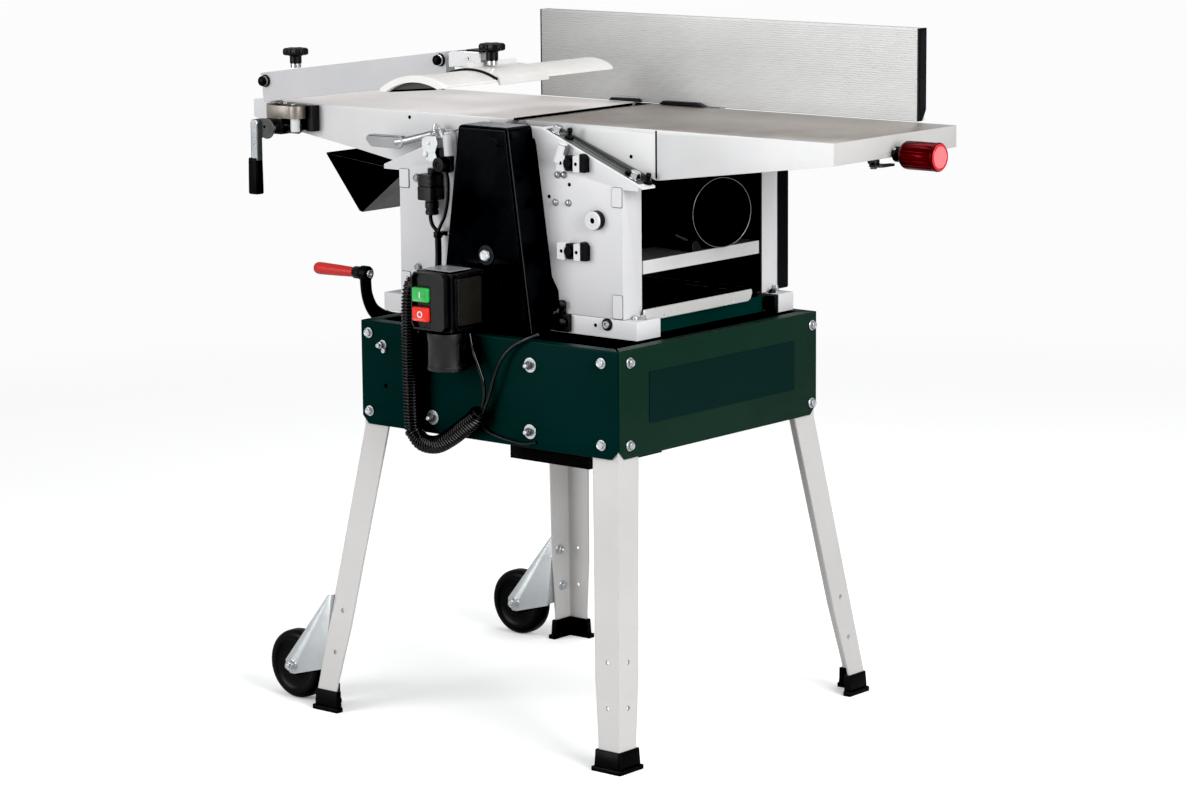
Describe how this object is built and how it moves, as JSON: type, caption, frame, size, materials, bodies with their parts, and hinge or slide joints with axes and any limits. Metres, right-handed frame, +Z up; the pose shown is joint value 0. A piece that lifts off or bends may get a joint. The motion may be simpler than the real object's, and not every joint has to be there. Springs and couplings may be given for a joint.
{
  "type": "planer thicknesser",
  "caption": "Surface planer and thickness planer on a four-legged stand, with tilting fence, sliding cutter guard, crank-raised bed, belt drive and extraction port.",
  "frame": {"origin": "on the floor, in the middle of the overall length and width", "axes": "+X along the tables towards the infeed end, +Y towards the fence, so the operator stands on -Y, +Z up"},
  "size_m": [1.1354, 0.576, 0.9784],
  "materials": {
    "stand_green": "fine-textured dark green powder coat, satin",
    "frame_silver": "light silver-grey hammered paint, satin",
    "leg_silver": "light grey paint on folded sheet, satin",
    "rubber_black": "moulded black rubber, matte",
    "wheel_black": "black plastic wheel, satin",
    "zinc_plated": "bright zinc plate",
    "machine_black": "black powder coat, satin",
    "cover_black": "black sheet cover, semi-gloss",
    "table_alu": "die-cast aluminium, fine milled top",
    "fence_alu": "ribbed anodised extrusion, satin",
    "arm_alu": "anodised channel, satin",
    "guard_white": "arched aluminium profile, pale anodised",
    "plastic_white": "white moulded plastic, satin",
    "plastic_black": "black moulded plastic, fine grain",
    "plastic_red": "red moulded plastic, gloss",
    "button_green": "green push button, gloss",
    "button_red": "red push button, gloss",
    "ground_steel": "machined and ground steel",
    "cast_iron_bed": "ground cast bed with painted edges",
    "cast_alu": "raw die casting, grainy",
    "belt_rubber": "ribbed drive belt",
    "crank_black": "black enamelled casting"
  },
  "bodies": {
    "frame": {"stand_front_panel": "stand_green", "stand_rear_panel": "stand_green", "stand_right_panel": "stand_green", "stand_left_panel": "stand_green", "leg_front_left": "leg_silver", "leg_front_right": "leg_silver", "leg_rear_left": "leg_silver", "leg_rear_right": "leg_silver", "foot_front_left": "rubber_black", "foot_front_right": "rubber_black", "foot_rear_left": "rubber_black", "foot_rear_right": "rubber_black", "wheel_bracket_front": "zinc_plated", "wheel_bracket_rear": "zinc_plated", "base_rail_front": "frame_silver", "base_rail_rear": "frame_silver", "base_pan": "stand_green", "front_plate": "frame_silver", "rear_plate": "frame_silver", "rear_drive_cover": "machine_black", "belt_cover": "cover_black", "drive_belt": "belt_rubber", "motor_housing": "machine_black", "switch_box": "plastic_black", "limit_switch": "plastic_black", "cable_conduit": "plastic_black", "fence_bracket": "frame_silver"},
    "wheel_front": {"wheel_front": "wheel_black"},
    "wheel_rear": {"wheel_rear": "wheel_black"},
    "infeed_table": {"infeed_table": "table_alu"},
    "depth_knob": {"depth_knob": "plastic_red"},
    "depth_lock_lever": {"depth_lock_lever": "zinc_plated"},
    "outfeed_table": {"outfeed_table": "table_alu", "guard_bracket": "cast_alu"},
    "outfeed_clamp_lever": {"outfeed_clamp_lever": "zinc_plated"},
    "motor_rotor": {"motor_pulley": "ground_steel"},
    "cutterblock": {"cutterblock": "ground_steel", "cutter_pulley": "ground_steel"},
    "infeed_roller": {"infeed_roller": "ground_steel"},
    "outfeed_roller": {"outfeed_roller": "ground_steel"},
    "anti_kickback_fingers": {"anti_kickback_fingers": "ground_steel"},
    "bed": {"bed": "cast_iron_bed", "lift_screw_left": "ground_steel", "lift_screw_right": "ground_steel"},
    "lift_nut_left": {"lift_nut_left": "ground_steel"},
    "lift_nut_right": {"lift_nut_right": "ground_steel"},
    "crank": {"crank_arm": "crank_black"},
    "crank_grip": {"crank_grip": "plastic_red"},
    "chip_hood": {"chip_hood": "machine_black"},
    "start_button": {"start_button": "button_green"},
    "stop_button": {"stop_button": "button_red"},
    "fence_carriage": {"fence_carriage": "frame_silver"},
    "fence": {"fence": "fence_alu"},
    "guard_clamp_lever": {"guard_clamp_lever": "zinc_plated"},
    "guard_arm": {"guard_arm": "arm_alu"},
    "guard_height_knob": {"guard_height_knob": "plastic_black"},
    "guard_holder": {"guard_holder": "zinc_plated", "guard_slider": "plastic_white"},
    "guard_slide_knob": {"guard_slide_knob": "plastic_black"},
    "guard_blade": {"guard_blade": "guard_white"}
  },
  "joints": [
    {"name": "front_wheel_spin", "type": "hinge", "parent": "frame", "child": "wheel_front", "pos_m": [-0.35875, -0.25, 0.051], "axis": [0, 1, 0], "continuous": true},
    {"name": "rear_wheel_spin", "type": "hinge", "parent": "frame", "child": "wheel_rear", "pos_m": [-0.35875, 0.242, 0.051], "axis": [0, 1, 0], "continuous": true},
    {"name": "infeed_table_slide", "type": "slide", "parent": "frame", "child": "infeed_table", "axis": [0.9293, 0, -0.3694], "range_m": [0, 0.0081]},
    {"name": "depth_knob_turn", "type": "hinge", "parent": "infeed_table", "child": "depth_knob", "pos_m": [0.50825, 0.028, 0.8242], "axis": [1, 0, 0], "range_deg": [0, 1944]},
    {"name": "depth_lock_turn", "type": "hinge", "parent": "infeed_table", "child": "depth_lock_lever", "pos_m": [0.47625, 0.004, 0.813], "axis": [0, 0, 1], "range_deg": [-40, 0]},
    {"name": "outfeed_table_slide", "type": "slide", "parent": "frame", "child": "outfeed_table", "axis": [-0.9293, 0, -0.3694], "range_m": [0, 0.012]},
    {"name": "outfeed_clamp_turn", "type": "hinge", "parent": "frame", "child": "outfeed_clamp_lever", "pos_m": [-0.17975, -0.127, 0.8137], "axis": [-0.3694, 0, 0.9293], "range_deg": [0, 70]},
    {"name": "motor_spin", "type": "hinge", "parent": "frame", "child": "motor_rotor", "pos_m": [-0.03375, -0.166, 0.484], "axis": [0, 1, 0], "continuous": true},
    {"name": "cutterblock_spin", "type": "hinge", "parent": "frame", "child": "cutterblock", "pos_m": [-0.05075, 0, 0.8185], "axis": [0, 1, 0], "continuous": true},
    {"name": "infeed_roller_spin", "type": "hinge", "parent": "frame", "child": "infeed_roller", "pos_m": [-0.10575, 0, 0.801], "axis": [0, 1, 0], "continuous": true},
    {"name": "outfeed_roller_spin", "type": "hinge", "parent": "frame", "child": "outfeed_roller", "pos_m": [0.00425, 0, 0.801], "axis": [0, 1, 0], "continuous": true},
    {"name": "kickback_fingers_swing", "type": "hinge", "parent": "frame", "child": "anti_kickback_fingers", "pos_m": [-0.14275, 0, 0.808], "axis": [0, 1, 0], "range_deg": [0, 35]},
    {"name": "bed_lift", "type": "slide", "parent": "frame", "child": "bed", "axis": [0, 0, 1], "range_m": [-0.032, 0]},
    {"name": "left_nut_turn", "type": "hinge", "parent": "frame", "child": "lift_nut_left", "pos_m": [-0.19375, -0.062, 0.569], "axis": [0, 0, 1], "range_deg": [-2880, 0]},
    {"name": "right_nut_turn", "type": "hinge", "parent": "frame", "child": "lift_nut_right", "pos_m": [0.11125, 0.127, 0.569], "axis": [0, 0, 1], "range_deg": [-2880, 0]},
    {"name": "crank_turn", "type": "hinge", "parent": "frame", "child": "crank", "pos_m": [-0.30375, -0.062, 0.536], "axis": [1, 0, 0], "range_deg": [-2880, 0]},
    {"name": "crank_grip_spin", "type": "hinge", "parent": "crank", "child": "crank_grip", "pos_m": [-0.36075, -0.151, 0.616], "axis": [1, 0, 0], "continuous": true},
    {"name": "chip_hood_pull", "type": "slide", "parent": "bed", "child": "chip_hood", "axis": [-1, 0, 0], "range_m": [0, 0.25]},
    {"name": "start_button_press", "type": "slide", "parent": "frame", "child": "start_button", "axis": [0, 1, 0], "range_m": [0, 0.004], "stiffness_N_per_m": 800, "springref_m": -0.001},
    {"name": "stop_button_press", "type": "slide", "parent": "frame", "child": "stop_button", "axis": [0, 1, 0], "range_m": [0, 0.004], "stiffness_N_per_m": 800, "springref_m": -0.001},
    {"name": "fence_slide", "type": "slide", "parent": "frame", "child": "fence_carriage", "axis": [0, -1, 0], "range_m": [0, 0.06]},
    {"name": "fence_tilt", "type": "hinge", "parent": "fence_carriage", "child": "fence", "pos_m": [0.0905, 0.1958, 0.854], "axis": [1, 0, 0], "range_deg": [-45, 0]},
    {"name": "guard_clamp_turn", "type": "hinge", "parent": "outfeed_table", "child": "guard_clamp_lever", "pos_m": [-0.48925, -0.16, 0.815], "axis": [0, 1, 0], "range_deg": [-90, 0]},
    {"name": "guard_arm_raise", "type": "hinge", "parent": "outfeed_table", "child": "guard_arm", "pos_m": [-0.51115, -0.131, 0.882], "axis": [0, -1, 0], "range_deg": [-4, 12]},
    {"name": "guard_height_knob_turn", "type": "hinge", "parent": "guard_arm", "child": "guard_height_knob", "pos_m": [-0.45775, -0.131, 0.925], "axis": [0, 0, 1], "range_deg": [-720, 720]},
    {"name": "guard_holder_level", "type": "hinge", "parent": "guard_arm", "child": "guard_holder", "pos_m": [-0.16545, -0.131, 0.9293], "axis": [0, -1, 0], "range_deg": [-12, 4]},
    {"name": "guard_slide_knob_turn", "type": "hinge", "parent": "guard_holder", "child": "guard_slide_knob", "pos_m": [-0.06975, -0.139, 0.945], "axis": [0, 0, 1], "range_deg": [-720, 720]},
    {"name": "guard_blade_slide", "type": "slide", "parent": "guard_holder", "child": "guard_blade", "axis": [0, 1, 0], "range_m": [-0.2, 0.02]}
  ],
  "couplings": [
    {"joint": "depth_knob_turn", "follows": "infeed_table_slide", "rad_per_m": 4188.8},
    {"joint": "bed_lift", "follows": "crank_turn", "m_per_rad": 0.00063662},
    {"joint": "left_nut_turn", "follows": "crank_turn", "ratio": 1},
    {"joint": "right_nut_turn", "follows": "crank_turn", "ratio": 1},
    {"joint": "cutterblock_spin", "follows": "motor_spin", "ratio": 2.1},
    {"joint": "infeed_roller_spin", "follows": "motor_spin", "ratio": -0.12},
    {"joint": "outfeed_roller_spin", "follows": "motor_spin", "ratio": -0.12},
    {"joint": "guard_holder_level", "follows": "guard_arm_raise", "ratio": -1}
  ]
}
